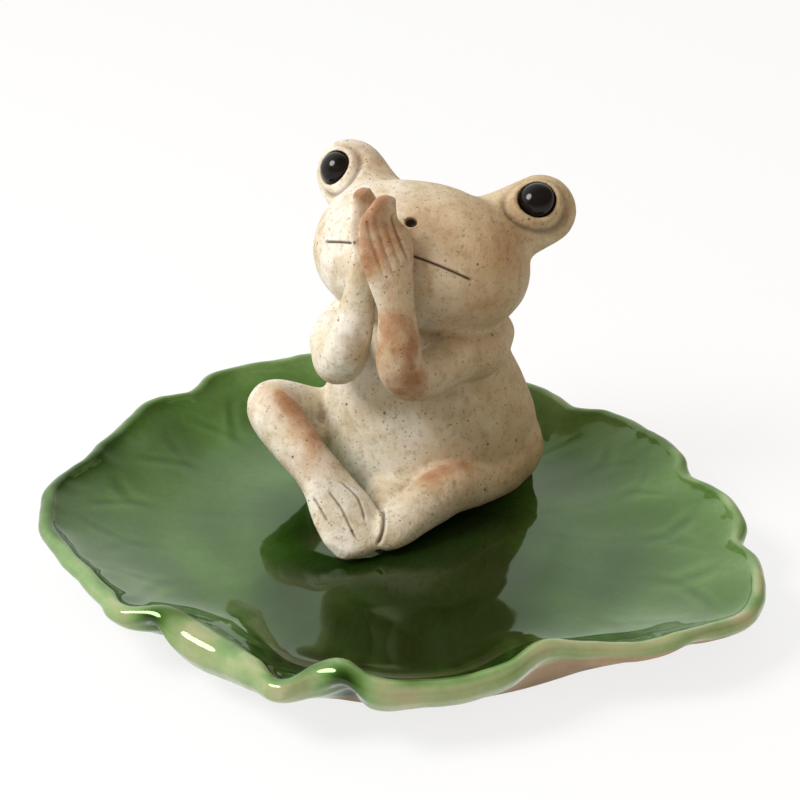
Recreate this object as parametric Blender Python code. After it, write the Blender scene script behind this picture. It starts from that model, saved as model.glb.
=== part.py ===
"""Tea pet: a stoneware frog with joined hands that sits on a glazed lotus-leaf dish.

Metres, +Z up. The frog looks towards -Y and its left side is +X. The origin lies
under the middle of the dish, on the surface that the dish stands on. Shapes of the
frog are given in millimetres from its seat, the middle of its flat underside.
"""

import math

import bmesh
import bpy
import numpy as np
from mathutils import Matrix, Vector

MM = 0.001

# Place of the frog's seat, from the heart of the leaf that its veins run from
SEAT_X = -4.5
SEAT_Y = 21.0

# Clearance between meshes that touch
FIT_GAP = 0.3

# Head: a wide pebble, turned, tipped back and leaning a little
HEAD_CENTRE = Vector((-0.3, -2.4, 39.0))
HEAD_HALVES = (18.0, 14.0, 12.2)
HEAD_POWER = 2.2
HEAD_TURN = math.radians(6)
HEAD_PITCH = math.radians(36)
HEAD_LEAN = math.radians(4)

# Eyes: a bulb on a stalk, with a black bead in a socket inside a ring groove; 1 is the frog's left eye
EYE_SPREAD = {1: 16.2, -1: 16.9}
EYE_BACK = 4.9
EYE_RISE = {1: 12.6, -1: 12.3}
EYE_RADIUS = 5.9
EYE_RING_RADIUS = 4.2
EYE_LOOK = {1: (math.radians(11), math.radians(42)), -1: (math.radians(-11), math.radians(30))}
BEAD_RADIUS = {1: 2.88, -1: 2.72}
BEAD_BACK = 3.6
BEAD_SHOULDER = 5.1
BEAD_FRONT = 7.1
BEAD_BEVEL = 0.3

# Direction that the back of the left hand faces, and that the soles' upper sides face
PALM_NORMAL = (0.766, -0.643, 0.0)
SOLE_NORMAL = (0.39, -0.39, 0.83)

# Stations from the root of a limb to its tip: x, y, z, half thickness and half width
TORSO = [(0, 0, -2, 15.0, 14.5), (0.1, 0, 1, 17.7, 17.0), (0.4, -0.2, 4, 18.6, 17.8),
         (0.1, -0.3, 8, 18.5, 17.6), (-0.5, -0.4, 12.5, 17.6, 16.6), (-0.9, -0.4, 18, 15.9, 14.8),
         (-0.9, -0.2, 23, 14.2, 13.0), (-0.6, 0, 28.5, 12.0, 11.2), (-0.3, 0.5, 33.5, 9.0, 9.0)]
LAP = [(0.5, -14, 2.6, 5.2, 5.2), (1.8, -19.5, 1.4, 4.4, 4.4), (2.6, -23.0, 1.0, 3.4, 3.4)]
WEB = [(-11, -4, 4.5, 5.0, 5.0), (-15.4, -9, 6.2, 3.0, 3.0), (-14.6, -13.5, 8.4, 2.0, 2.0)]
LEFT_ARM = [(9, 4, 24.2, 4.5, 4.5), (10.8, -4, 25.1, 4.3, 4.3), (8.9, -11.5, 26.5, 4.1, 4.1),
            (5.8, -17.4, 25.5, 3.8, 3.8), (4.2, -20.4, 28.2, 3.8, 3.8), (3.7, -20.8, 32.7, 3.4, 3.6),
            (3.2, -20.4, 38.6, 2.6, 3.1), (2.1, -19.9, 43.4, 1.9, 3.9), (0.8, -19.0, 48.2, 1.5, 4.7),
            (-0.4, -18.5, 52.0, 1.3, 3.5), (0.4, -18.0, 55.0, 1.0, 2.0)]
RIGHT_ARM = [(-9, 2, 25.2, 4.6, 4.6), (-11.4, -6, 26.9, 4.4, 4.4), (-10.8, -13, 27.2, 4.1, 4.1),
             (-8.2, -18.4, 26.4, 4.0, 4.0), (-5.8, -20.9, 29.3, 3.8, 3.8), (-4.4, -20.8, 33.7, 3.3, 3.5),
             (-3.6, -20.0, 38.0, 2.6, 2.8), (-2.8, -19.3, 42.5, 1.8, 2.9), (-2.5, -17.8, 47.0, 1.4, 3.2),
             (-3.2, -17.2, 51.7, 1.2, 3.1), (-3.8, -17.5, 56.0, 1.0, 1.7)]
RIGHT_LEG = [(-10, 0, 6, 5.0, 5.0), (-16.8, -8, 10.5, 3.3, 3.3), (-20.4, -16.2, 14.7, 4.0, 4.0),
             (-18.9, -20, 14.6, 4.3, 4.3), (-14.2, -22.8, 12.2, 4.1, 4.1), (-9.7, -25.3, 10.1, 3.5, 3.8),
             (-6.3, -27.1, 8.2, 2.7, 4.2), (-2.6, -29.4, 5.6, 1.9, 5.3), (0.7, -31.6, 3.0, 1.5, 5.4),
             (2.3, -32.9, 1.5, 1.35, 4.4)]
LEFT_LEG = [(10.5, 5, 7.6, 6.2, 6.2), (15.0, 1.2, 5.6, 5.2, 5.2), (15.2, -4.6, 4.4, 4.4, 4.4),
            (13.0, -10.3, 4.5, 4.2, 4.2), (10.4, -15.4, 5.2, 4.5, 4.5), (8.6, -20, 4.4, 4.1, 4.1),
            (6.9, -24.6, 3.5, 3.0, 3.7), (5.4, -27.9, 2.8, 2.0, 3.4), (4.4, -29.6, 2.4, 1.6, 2.9)]
UPPER_ARM_STATIONS = 4

# Frog surface: size of the joining grid, and triangles left before the carving
JOIN_GRID = 0.85
FROG_TRIANGLES = 5600

# Distance that merges doubles, and the half widths of the carved lines
WELD = 0.01
RING_LINE = 0.42
MOUTH_LINE = 0.38
DIGIT_LINE = 0.36
NOSTRIL_RADIUS = 0.75
NOSTRIL_DEPTH = 1.6

# Fingers and toes: where the lines that part them lie across the limb, and how they run along it
DIGIT_OFFSETS = (-0.48, -0.02, 0.46)
DIGIT_RINGS = 34
DIGIT_REACH = 11
DIGIT_STRIDE = 3
DIGIT_BITE = 0.1

# Dish: floor height, how far the floor's rise starts inside the edge, width of the rising edge outside
# and inside, and how much narrower that is at the front and, inside only, behind the frog; angles and
# spreads in degrees
FLOOR = 4.5
RIM_THICKNESS = 2.9
OUTER_RISE = 15.0
INNER_RISE = 13.0
FRONT_STEEPER = (300, 38, 4.0)
BACK_STEEPER = (97, 34, 9.0)
FOOT_EDGE = (1.1, 0.7)
FOOT_HOLLOW = 0.62
FLOOR_MIDDLE = 0.42
OUTER_SWELL = 1.15
INNER_SWEEP = 1.8
ROLL_TURNS = (-50, 0, 45, 90, 150)
DISH_STEPS = 108
CALM_STEPS = 9

# Rim of the dish: angle in degrees from +X, radius, height, and radius of its rolled edge
RIM = [(-1, 61.6, 9.6, 1.4), (6, 59.0, 9.8, 1.4), (11, 55.6, 9.6, 1.4), (15, 55.8, 10.2, 1.4),
       (27, 51.8, 10.4, 1.4), (33, 48.9, 9.8, 1.4), (38, 49.2, 10.4, 1.4), (51, 47.8, 10.8, 1.4),
       (62, 46.0, 10.6, 1.4), (69, 43.4, 10.2, 1.4), (75, 43.8, 10.8, 1.4), (90, 45.0, 11.0, 1.4),
       (98, 47.2, 10.8, 1.4), (106, 48.6, 10.6, 1.4), (120, 51.0, 10.6, 1.4), (133, 52.4, 10.8, 1.4),
       (146, 53.9, 10.6, 1.4), (153, 54.6, 10.6, 1.4), (159, 52.6, 10.2, 1.4), (166, 54.4, 10.6, 1.4),
       (180, 54.0, 10.8, 1.4), (192, 55.2, 10.6, 1.4), (200, 58.0, 10.8, 1.4), (209, 59.0, 10.8, 1.5),
       (218, 57.8, 10.8, 1.5), (227, 56.0, 10.9, 1.5), (237, 55.6, 11.2, 1.6), (244, 56.0, 11.6, 1.7),
       (249, 53.8, 12.8, 2.3), (255, 53.1, 11.6, 3.0), (262, 53.2, 10.6, 2.8), (270, 55.4, 11.2, 2.3),
       (276, 57.6, 11.0, 1.7), (280, 55.2, 12.4, 2.4), (284, 55.1, 13.4, 2.7), (289, 57.0, 12.4, 2.4),
       (295, 55.9, 11.2, 2.0), (303, 55.1, 11.0, 1.9), (311, 53.5, 11.6, 1.8), (319, 50.8, 11.9, 1.6),
       (326, 52.5, 10.8, 1.5), (334, 56.6, 10.0, 1.4), (339, 59.3, 10.8, 1.4), (345, 60.8, 9.8, 1.4),
       (353, 62.6, 9.2, 1.4)]
RIM_OVERLAP = 3

# Colour and roughness of each piece
LOOKS = [("leaf_dish", (0.08, 0.2, 0.06), 0.12), ("frog", (0.62, 0.5, 0.36), 0.7),
         ("left_eye_bead", (0.01, 0.01, 0.01), 0.08), ("right_eye_bead", (0.01, 0.01, 0.01), 0.08)]

# Mouth line and nostrils on the face, as x and z in the head's own directions
MOUTH = [(-12.6, -1.9), (-8.0, -1.3), (-3.0, -1.0), (2.5, -1.4), (7.5, -2.2), (12.6, -3.6)]
NOSTRILS = [(-3.4, 3.4), (0.6, 3.2)]


def mesh_object(name, points, faces):
    mesh = bpy.data.meshes.new(name)
    mesh.from_pydata([tuple(Vector(p) * MM) for p in points], [], faces)
    mesh.validate()
    obj = bpy.data.objects.new(name, mesh)
    bpy.context.scene.collection.objects.link(obj)
    return obj


def ring_faces(rings, sides):
    """Quads between rings of points, and a fan of triangles to a pole at each end."""
    faces = []
    for k in range(rings - 1):
        for i in range(sides):
            j = (i + 1) % sides
            faces.append((k * sides + i, k * sides + j, (k + 1) * sides + j, (k + 1) * sides + i))
    first, last = rings * sides, rings * sides + 1
    for i in range(sides):
        j = (i + 1) % sides
        faces.append((first, j, i))
        faces.append((last, (rings - 1) * sides + i, (rings - 1) * sides + j))
    return faces


def spline(values, count):
    """Points evenly spread in parameter along a Catmull-Rom curve through the values."""
    values = np.asarray(values, float)
    padded = np.vstack([2 * values[0] - values[1], values, 2 * values[-1] - values[-2]])
    at = np.linspace(0, len(values) - 1, count)
    k = np.minimum(at.astype(int), len(values) - 2)
    t = (at - k)[:, None]
    p0, p1, p2, p3 = (padded[k + i] for i in range(4))
    return 0.5 * (2 * p1 + (p2 - p0) * t + (2 * p0 - 5 * p1 + 4 * p2 - p3) * t**2
                  + (3 * p1 - p0 - 3 * p2 + p3) * t**3)


def frames(stations, across, rings):
    """Ring centres, half sizes and directions along a limb through the stations."""
    table = spline(np.hstack([np.asarray(stations, float), np.asarray(across, float)]), rings)
    centres, thick, wide, side = table[:, :3], table[:, 3], table[:, 4], table[:, 5:8]
    along = np.gradient(centres, axis=0)
    along /= np.linalg.norm(along, axis=1, keepdims=True)
    side = side - along * np.sum(side * along, axis=1, keepdims=True)
    side /= np.linalg.norm(side, axis=1, keepdims=True)
    return centres, thick, wide, along, side, np.cross(along, side)


def limb(name, stations, across, rings=16, sides=14):
    """A closed tube through stations of (x, y, z, half thickness, half width).

    The thickness of a ring runs along the direction in across for its station. Both
    ends close with a half dome.
    """
    centres, thick, wide, along, side, other = frames(stations, across, rings)
    whole = [(centres[k], thick[k], wide[k], k) for k in range(rings)]
    small = np.minimum(thick, wide)
    for share in (0.92, 0.7, 0.35):
        out, back = math.sin(share * math.pi / 2), math.cos(share * math.pi / 2)
        whole.insert(0, (centres[0] - along[0] * small[0] * back, thick[0] * out, wide[0] * out, 0))
        whole.append((centres[-1] + along[-1] * small[-1] * back, thick[-1] * out, wide[-1] * out, rings - 1))
    turns = np.arange(sides) * 2 * math.pi / sides
    points = [c + t * math.cos(a) * side[k] + w * math.sin(a) * other[k]
              for c, t, w, k in whole for a in turns]
    points += [centres[0] - along[0] * small[0], centres[-1] + along[-1] * small[-1]]
    return mesh_object(name, points, ring_faces(len(whole), sides))


def arm_across(stations):
    return [(1, 0, 0)] * UPPER_ARM_STATIONS + [PALM_NORMAL] * (len(stations) - UPPER_ARM_STATIONS)


def head_turn():
    return (Matrix.Rotation(HEAD_TURN, 3, "Z") @ Matrix.Rotation(-HEAD_PITCH, 3, "X")
            @ Matrix.Rotation(HEAD_LEAN, 3, "Y"))


def on_head(x, y, z):
    """Frog coordinates of a point given in the head's own directions."""
    return HEAD_CENTRE + head_turn() @ Vector((x, y, z))


def on_face(x, z, lift=0.0):
    """The point of the face at x and z, moved outwards along the head's own -Y by lift."""
    a, b, c = HEAD_HALVES
    room = 1 - abs(x / a) ** HEAD_POWER - abs(z / c) ** HEAD_POWER
    return on_head(x, -b * max(room, 0) ** (1 / HEAD_POWER) - lift, z)


def head(rings=18, sides=28):
    def soft(v):
        return math.copysign(abs(v) ** (2 / HEAD_POWER), v)
    a, b, c = HEAD_HALVES
    points = []
    for k in range(rings - 1, 0, -1):
        p = k * math.pi / rings
        for i in range(sides):
            r = i * 2 * math.pi / sides
            points.append(on_head(a * soft(math.sin(p)) * soft(math.cos(r)),
                                  b * soft(math.sin(p)) * soft(math.sin(r)), c * soft(math.cos(p))))
    points += [on_head(0, 0, -c), on_head(0, 0, c)]
    return mesh_object("head", points, ring_faces(rings - 1, sides))


def torso():
    return limb("torso", TORSO, [(1, 0, 0)] * len(TORSO), rings=18, sides=36)


def lap():
    """The clay between the thighs that carries the heels."""
    return limb("lap", LAP, [(1, 0, 0)] * len(LAP), rings=7, sides=20)


def web():
    """The fold of clay that joins the raised thigh to the body, behind the shin."""
    return limb("web", WEB, [(1, 0, 0)] * len(WEB), rings=7, sides=20)


def bulb_centre(side, out=1.0, up=1.0):
    """The middle of an eye's bulb, or of its stalk where the shares are less than one."""
    return on_head(side * out * EYE_SPREAD[side], up * EYE_BACK, up * EYE_RISE[side])


def eye_bulb(side):
    """A ball on a stalk that widens towards the head."""
    stations = []
    for out, up, wider in ((0.55, 0.4, 1.6), (0.78, 0.72, 0.3), (1, 1, 0)):
        stations.append((*bulb_centre(side, out, up), EYE_RADIUS + wider, EYE_RADIUS + wider))
    return limb("eye_bulb", stations, [(0, 1, 0)] * 3, rings=7, sides=20)


def replace_mesh(obj):
    """Give the object the mesh that its modifiers make, and drop the modifiers."""
    graph = bpy.context.evaluated_depsgraph_get()
    mesh = bpy.data.meshes.new_from_object(obj.evaluated_get(graph))
    obj.modifiers.clear()
    obj.data = mesh


def join(objects, name):
    """One mesh that holds the points and faces of all the objects, which go away."""
    whole = bmesh.new()
    for obj in objects:
        whole.from_mesh(obj.data)
        bpy.data.objects.remove(obj)
    mesh = bpy.data.meshes.new(name)
    whole.to_mesh(mesh)
    whole.free()
    obj = bpy.data.objects.new(name, mesh)
    bpy.context.scene.collection.objects.link(obj)
    return obj


def fuse(objects, name):
    """Join the pieces as clay: one skin with soft seams, at a low count of triangles."""
    obj = join(objects, name)
    remesh = obj.modifiers.new("skin", "REMESH")
    remesh.mode = "VOXEL"
    remesh.voxel_size = JOIN_GRID * MM
    smooth = obj.modifiers.new("soften", "SMOOTH")
    smooth.factor = 0.5
    smooth.iterations = 4
    replace_mesh(obj)
    count = sum(len(p.vertices) - 2 for p in obj.data.polygons)
    fewer = obj.modifiers.new("fewer", "DECIMATE")
    fewer.ratio = FROG_TRIANGLES / count
    replace_mesh(obj)
    return obj


def carve(obj, cutter):
    cut = obj.modifiers.new("cut", "BOOLEAN")
    cut.operation = "DIFFERENCE"
    cut.solver = "EXACT"
    cut.object = cutter
    replace_mesh(obj)
    bpy.data.objects.remove(cutter)


def eye_frame(side):
    """The bulb's centre and a rotation that takes +Z to where the eye looks."""
    turn, rise = EYE_LOOK[side]
    look = Vector((math.sin(turn) * math.cos(rise), -math.cos(turn) * math.cos(rise), math.sin(rise)))
    return bulb_centre(side), look.to_track_quat("Z", "Y").to_matrix()


def revolve(name, side, profile, sides=20):
    """A closed solid turned about the eye's axis from (radius, height) pairs between two poles."""
    centre, turn = eye_frame(side)
    points = []
    for radius, height in profile[1:-1]:
        for i in range(sides):
            a = i * 2 * math.pi / sides
            points.append(centre + turn @ Vector((radius * math.cos(a), radius * math.sin(a), height)))
    points += [centre + turn @ Vector((0, 0, profile[0][1])), centre + turn @ Vector((0, 0, profile[-1][1]))]
    return mesh_object(name, points, ring_faces(len(profile) - 2, sides))


def bead(side, name):
    radius = BEAD_RADIUS[side]
    dome = []
    for k in range(1, 6):
        a = k * math.pi / 12
        dome.append((radius * math.cos(a), BEAD_SHOULDER + (BEAD_FRONT - BEAD_SHOULDER) * math.sin(a)))
    profile = [(0, BEAD_BACK), (radius - BEAD_BEVEL, BEAD_BACK), (radius, BEAD_BACK + BEAD_BEVEL),
               (radius, BEAD_SHOULDER), *dome, (0, BEAD_FRONT)]
    return revolve(name, side, profile)


def socket(side):
    """A well round the bead, open through the front of the bulb."""
    radius, back, front = BEAD_RADIUS[side] + FIT_GAP, BEAD_BACK - FIT_GAP, 1.5 * EYE_RADIUS
    return revolve("socket", side, [(0, back), (radius, back), (radius, front), (0, front)])


def ring_groove(side, sides=20, around=5):
    centre, turn = eye_frame(side)
    height = math.sqrt(EYE_RADIUS**2 - EYE_RING_RADIUS**2)
    points, faces = [], []
    for i in range(sides):
        a = i * 2 * math.pi / sides
        for k in range(around):
            b = k * 2 * math.pi / around
            r, h = EYE_RING_RADIUS + RING_LINE * math.cos(b), height + RING_LINE * math.sin(b)
            points.append(centre + turn @ Vector((r * math.cos(a), r * math.sin(a), h)))
            i2, k2 = (i + 1) % sides, (k + 1) % around
            faces.append((i * around + k, i2 * around + k, i2 * around + k2, i * around + k2))
    return mesh_object("ring_groove", points, faces)


def groove(name, path, radius, rings=10):
    """A thin tube along a path, used as a cutter; its rings start square to an edge of the world."""
    path = [tuple(p) for p in path]
    run = np.array(path[-1]) - np.array(path[0])
    side = np.cross(run, np.eye(3)[np.abs(run).argmin()])
    return limb(name, [(*p, radius, radius) for p in path], [tuple(side / np.linalg.norm(side))] * len(path),
                rings=rings, sides=6)


def mouth():
    return groove("mouth", [on_face(x, z) for x, z in MOUTH], MOUTH_LINE, rings=16)


def nostril(x, z):
    return groove("nostril", [on_face(x, z, -NOSTRIL_DEPTH), on_face(x, z, 1)], NOSTRIL_RADIUS, rings=3)


def digit_grooves(stations, across, face):
    """Cutters that part the fingers or toes on the side of the limb that face names."""
    centres, thick, wide, along, side, other = frames(stations, across, DIGIT_RINGS)
    cutters = []
    for offset in DIGIT_OFFSETS:
        rise = math.sqrt(1 - offset**2)
        path = [centres[k] + face * side[k] * (thick[k] * rise - DIGIT_BITE) + other[k] * wide[k] * offset
                for k in range(DIGIT_RINGS - DIGIT_REACH, DIGIT_RINGS, DIGIT_STRIDE)]
        cutters.append(groove("digit_groove", path, DIGIT_LINE, rings=5))
    return join(cutters, "digit_grooves")


def seat_cutter(body):
    """A block that reaches past the body all round and up to its seat."""
    reach = 2 * max(body.dimensions) / MM
    points = [(x, y, z) for z in (-reach, 0) for x, y in ((-reach, -reach), (reach, -reach),
                                                          (reach, reach), (-reach, reach))]
    faces = [(3, 2, 1, 0), (4, 5, 6, 7), (0, 1, 5, 4), (1, 2, 6, 5), (2, 3, 7, 6), (3, 0, 4, 7)]
    return mesh_object("seat_cutter", points, faces)


def frog():
    arms = [(arm, arm_across(arm), face) for arm, face in ((LEFT_ARM, 1), (RIGHT_ARM, -1))]
    legs = [(leg, [SOLE_NORMAL] * len(leg), 1) for leg in (RIGHT_LEG, LEFT_LEG)]
    limbs = [limb("limb", stations, across, rings=34, sides=16) for stations, across, face in arms + legs]
    body = fuse([torso(), lap(), web(), head(), eye_bulb(-1), eye_bulb(1), *limbs], "frog")
    carve(body, seat_cutter(body))
    for side in (-1, 1):
        carve(body, socket(side))
        carve(body, ring_groove(side))
    carve(body, mouth())
    for x, z in NOSTRILS:
        carve(body, nostril(x, z))
    for stations, across, face in arms + legs[:1]:
        carve(body, digit_grooves(stations, across, face))
    return body


def rim_curves(angles):
    """Radius, height and roll of the rim at the angles: smooth closed curves through RIM."""
    table = np.array(RIM, float)
    full_turn = np.eye(4)[0] * 360
    table = np.vstack([table[-RIM_OVERLAP:] - full_turn, table, table[:RIM_OVERLAP] + full_turn])
    at, values = table[:, 0], table[:, 1:]
    slope = np.gradient(values, at, axis=0)
    k = np.searchsorted(at, angles, side="right") - 1
    step = (at[k + 1] - at[k])[:, None]
    t = (angles - at[k])[:, None] / step
    return ((2 * t**3 - 3 * t**2 + 1) * values[k] + (t**3 - 2 * t**2 + t) * step * slope[k]
            + (-2 * t**3 + 3 * t**2) * values[k + 1] + (t**3 - t**2) * step * slope[k + 1]).T


def bell(angles, at, spread, size):
    """A smooth hump round an angle, with the turn to it taken the short way round."""
    away = np.degrees(np.angle(np.exp(1j * np.radians(angles - at))))
    return size * np.exp(-(away / spread) ** 2)


def leaf_dish():
    """Rings from the hollow under the foot, up the outside, round the rolled edge and down to the floor."""
    angles = np.arange(DISH_STEPS) * 360 / DISH_STEPS
    radius, height, roll = rim_curves(angles)
    calm = np.mean([np.roll(radius, k) for k in range(-CALM_STEPS, CALM_STEPS + 1)], axis=0)
    front = bell(angles, *FRONT_STEEPER)
    foot = calm - OUTER_RISE + front
    run = INNER_RISE - front - bell(angles, *BACK_STEEPER)
    turned = [(radius - roll + roll * math.cos(a), height - roll + roll * math.sin(a))
              for a in np.radians(ROLL_TURNS)]
    (under, under_z), (edge, edge_z) = turned[0], turned[-1]
    start, start_z = foot + FOOT_EDGE[0], FOOT_EDGE[1]
    rings = [(foot * FOOT_HOLLOW, 0), (foot, 0), (start, start_z)]
    for share in (0.35, 0.7):
        rings.append((start + (under - start) * share, start_z + (under_z - start_z) * share**OUTER_SWELL))
    rings += turned
    floor_edge = np.minimum(radius, calm) - RIM_THICKNESS - run
    for share in (0.25, 0.5, 0.75, 1.0):
        z = FLOOR + (edge_z - FLOOR) * (1 - share) ** INNER_SWEEP
        rings.append((edge + (floor_edge - edge) * share, z))
    rings.append((calm * FLOOR_MIDDLE, FLOOR))
    points = []
    for r, z in rings:
        r, z = np.broadcast_to(r, angles.shape), np.broadcast_to(z, angles.shape)
        points += [(ri * math.cos(a), ri * math.sin(a), zi) for ri, zi, a in zip(r, z, np.radians(angles))]
    points += [(0, 0, 0), (0, 0, FLOOR)]
    return mesh_object("leaf_dish", points, ring_faces(len(rings), DISH_STEPS))


def paint(obj, colour, roughness):
    material = bpy.data.materials.new(obj.name)
    material.use_nodes = True
    shader = material.node_tree.nodes["Principled BSDF"]
    shader.inputs["Base Color"].default_value = (*colour, 1)
    shader.inputs["Roughness"].default_value = roughness
    shader.inputs["Metallic"].default_value = 0
    obj.data.materials.clear()
    obj.data.materials.append(material)


def tidy_mesh(obj):
    """Merge stray doubles from the carving, leave triangles that face out, and shade the rounds smooth."""
    work = bmesh.new()
    work.from_mesh(obj.data)
    bmesh.ops.remove_doubles(work, verts=work.verts, dist=WELD * MM)
    bmesh.ops.dissolve_degenerate(work, edges=work.edges, dist=WELD / 2 * MM)
    bmesh.ops.triangulate(work, faces=work.faces)
    bmesh.ops.recalc_face_normals(work, faces=work.faces)
    work.to_mesh(obj.data)
    work.free()
    obj.data.shade_smooth()
    obj.data.set_sharp_from_angle(angle=math.radians(40))


def main():
    for obj in list(bpy.data.objects):
        bpy.data.objects.remove(obj)
    dish = leaf_dish()
    low, high = (Vector([pick(v.co[k] for v in dish.data.vertices) for k in range(3)]) for pick in (min, max))
    heart = Vector((-(low.x + high.x) / 2, -(low.y + high.y) / 2, 0))
    dish.location = heart
    seat = heart + Vector((SEAT_X, SEAT_Y, FLOOR + FIT_GAP)) * MM
    for obj in (frog(), bead(1, "left_eye_bead"), bead(-1, "right_eye_bead")):
        obj.location = seat
    for name, colour, roughness in LOOKS:
        obj = bpy.data.objects[name]
        tidy_mesh(obj)
        paint(obj, colour, roughness)


main()
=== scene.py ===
"""Looks of the tea pet: a frog of speckled stoneware that sits on a lotus-leaf dish under a green glaze."""

import math

import bmesh
import bpy
import numpy as np
from mathutils import Matrix, Vector


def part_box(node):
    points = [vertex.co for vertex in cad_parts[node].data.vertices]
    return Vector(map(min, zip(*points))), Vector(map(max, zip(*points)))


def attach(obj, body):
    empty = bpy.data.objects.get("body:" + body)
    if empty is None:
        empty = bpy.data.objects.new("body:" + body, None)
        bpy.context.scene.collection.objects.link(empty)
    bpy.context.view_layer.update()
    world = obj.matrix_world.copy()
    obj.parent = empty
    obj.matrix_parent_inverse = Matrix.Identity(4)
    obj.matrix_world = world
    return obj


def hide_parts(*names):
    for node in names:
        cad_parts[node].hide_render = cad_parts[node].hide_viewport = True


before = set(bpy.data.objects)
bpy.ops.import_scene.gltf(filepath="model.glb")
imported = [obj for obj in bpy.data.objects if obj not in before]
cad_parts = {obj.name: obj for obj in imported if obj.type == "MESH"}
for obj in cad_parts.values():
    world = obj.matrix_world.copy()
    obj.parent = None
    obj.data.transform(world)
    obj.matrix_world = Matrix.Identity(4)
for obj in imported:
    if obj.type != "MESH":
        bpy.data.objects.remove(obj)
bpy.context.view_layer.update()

# The leaf dish. A slab of stoneware pressed into a lotus leaf, its edge pinched up and folded by hand,
# then dipped in a clear green glaze that pools dark in the veins, breaks pale over the rim and leaves
# the outside of the wall bare near the foot.
MM = 0.001
HEART = np.array([-3.835, 5.047])
FLOOR = 4.5
RIM_THICKNESS = 2.9
# How far in from the edge the outer wall meets the foot, and how wide the inner wall is
OUTER_RISE = 15.0
INNER_RISE = 13.0
# Sides where the walls are steeper or the inner wall is gentler: angle, spread, and the change of width
FRONT_STEEPER = (300, 38, 4.0)
BACK_STEEPER = (97, 34, 9.0)
LEFT_GENTLER = (214, 34, 9.0)
RIGHT_GENTLER = (6, 32, 8.0)
FOOT_ROUNDING = (1.1, 0.7)
# How strongly the two walls curve up: powers of the share of the way
OUTER_CURVE = 1.15
INNER_CURVE = 1.6
ROLL_TURNS = np.radians((-50, -5, 40, 85, 120, 150))
RINGS_BETWEEN_CONTROLS = (3, 4, 7, 7, 7, 5, 5, 5, 4, 4, 7, 7, 7, 6, 20)
MIDDLE_RINGS = 14
# Edge of the leaf round its heart: angle in degrees from +X, radius, height, and radius of the rolled edge
RIM = np.array([
    (-1, 61.6, 9.6, 1.4), (6, 59.0, 9.8, 1.4), (11, 55.6, 9.6, 1.4), (15, 55.8, 10.2, 1.4),
    (27, 51.8, 10.4, 1.4), (33, 48.9, 9.8, 1.4), (38, 49.2, 10.4, 1.4), (51, 47.8, 10.8, 1.4),
    (62, 46.0, 10.6, 1.4), (69, 43.4, 10.2, 1.4), (75, 43.8, 10.8, 1.4), (90, 45.0, 11.0, 1.4),
    (98, 47.2, 10.8, 1.4), (106, 48.6, 10.6, 1.4), (120, 51.0, 10.6, 1.4), (133, 52.4, 10.8, 1.4),
    (146, 53.9, 10.6, 1.4), (153, 54.6, 10.6, 1.4), (159, 52.6, 10.2, 1.4), (166, 54.4, 10.6, 1.4),
    (180, 54.0, 10.8, 1.4), (192, 55.2, 10.6, 1.4), (200, 58.0, 10.8, 1.4), (209, 59.0, 10.8, 1.5),
    (218, 57.8, 10.8, 1.5), (227, 56.0, 10.9, 1.5), (237, 55.6, 11.2, 1.6), (244, 56.0, 11.6, 1.7),
    (249, 53.8, 12.8, 2.3), (255, 53.1, 11.6, 3.0), (262, 53.2, 10.6, 2.8), (270, 55.4, 11.2, 2.3),
    (276, 57.6, 11.0, 1.7), (280, 55.2, 12.4, 2.4), (284, 55.1, 13.4, 2.7), (289, 57.0, 12.4, 2.4),
    (295, 55.9, 11.2, 2.0), (303, 55.1, 11.0, 1.9), (311, 53.5, 11.6, 1.8), (319, 50.8, 11.9, 1.6),
    (326, 52.5, 10.8, 1.5), (334, 56.6, 10.0, 1.4), (339, 59.3, 10.8, 1.4), (345, 60.8, 9.8, 1.4),
    (353, 62.6, 9.2, 1.4)])
# Places where a fold of the edge leaves a pocket in the wall below it: angle, spread and depth
PINCHES = [(285, 2.6, 2.8), (249, 2.2, 2.4), (341, 2.4, 0.8), (35, 4.0, 0.6)]
# Main veins: angle, and where the vein forks as a share of the way to the edge
VEINS = [(16, 0.80), (34, 0.86), (49, 0.84), (68, 0.82), (86, 0.8), (104, 0.8), (122, 0.82), (141, 0.8),
         (160, 0.82), (179, 0.8), (198, 0.82), (216, 0.8), (233, 0.82), (250, 0.8), (267, 0.8), (286, 0.78),
         (304, 0.8), (322, 0.8), (341, 0.78), (358, 0.8)]


def smooth_through(values, at, where):
    """Cubic pieces through the values: each leaves a value with the slope between its two neighbours."""
    slope = np.gradient(values, at, axis=0)
    k = np.clip(np.searchsorted(at, where, side="right") - 1, 0, len(at) - 2)
    step = (at[k + 1] - at[k]).reshape(-1, *[1] * (values.ndim - 1))
    t = (where - at[k]).reshape(step.shape) / step
    return ((2 * t**3 - 3 * t**2 + 1) * values[k] + (t**3 - 2 * t**2 + t) * step * slope[k]
            + (3 * t**2 - 2 * t**3) * values[k + 1] + (t**3 - t**2) * step * slope[k + 1])


def bell(away, spread):
    """A smooth hump: e to the power of minus the square of the distance over the spread."""
    return np.exp(-(away / spread) ** 2)


def turn_between(angles, at):
    """The signed turn in degrees from one angle to the others, from -180 to 180."""
    return (angles - at + 180) % 360 - 180


def ease(value, low, high):
    """0 below low, 1 above high, and an S curve between them."""
    t = np.clip((value - low) / (high - low), 0, 1)
    return t * t * (3 - 2 * t)


def ripple(points, size, seed):
    """Soft hills about size across and from about -1 to 1: sines in sixteen spread directions, added up."""
    rng = np.random.default_rng(seed)
    ways = rng.normal(size=(16, points.shape[-1]))
    ways *= (rng.uniform(0.6, 1.4, 16) / np.linalg.norm(ways, axis=1))[:, None]
    return np.sin(points @ ways.T * 2 * math.pi / size + rng.uniform(0, 6.28, 16)).sum(-1) / 5.0


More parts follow.
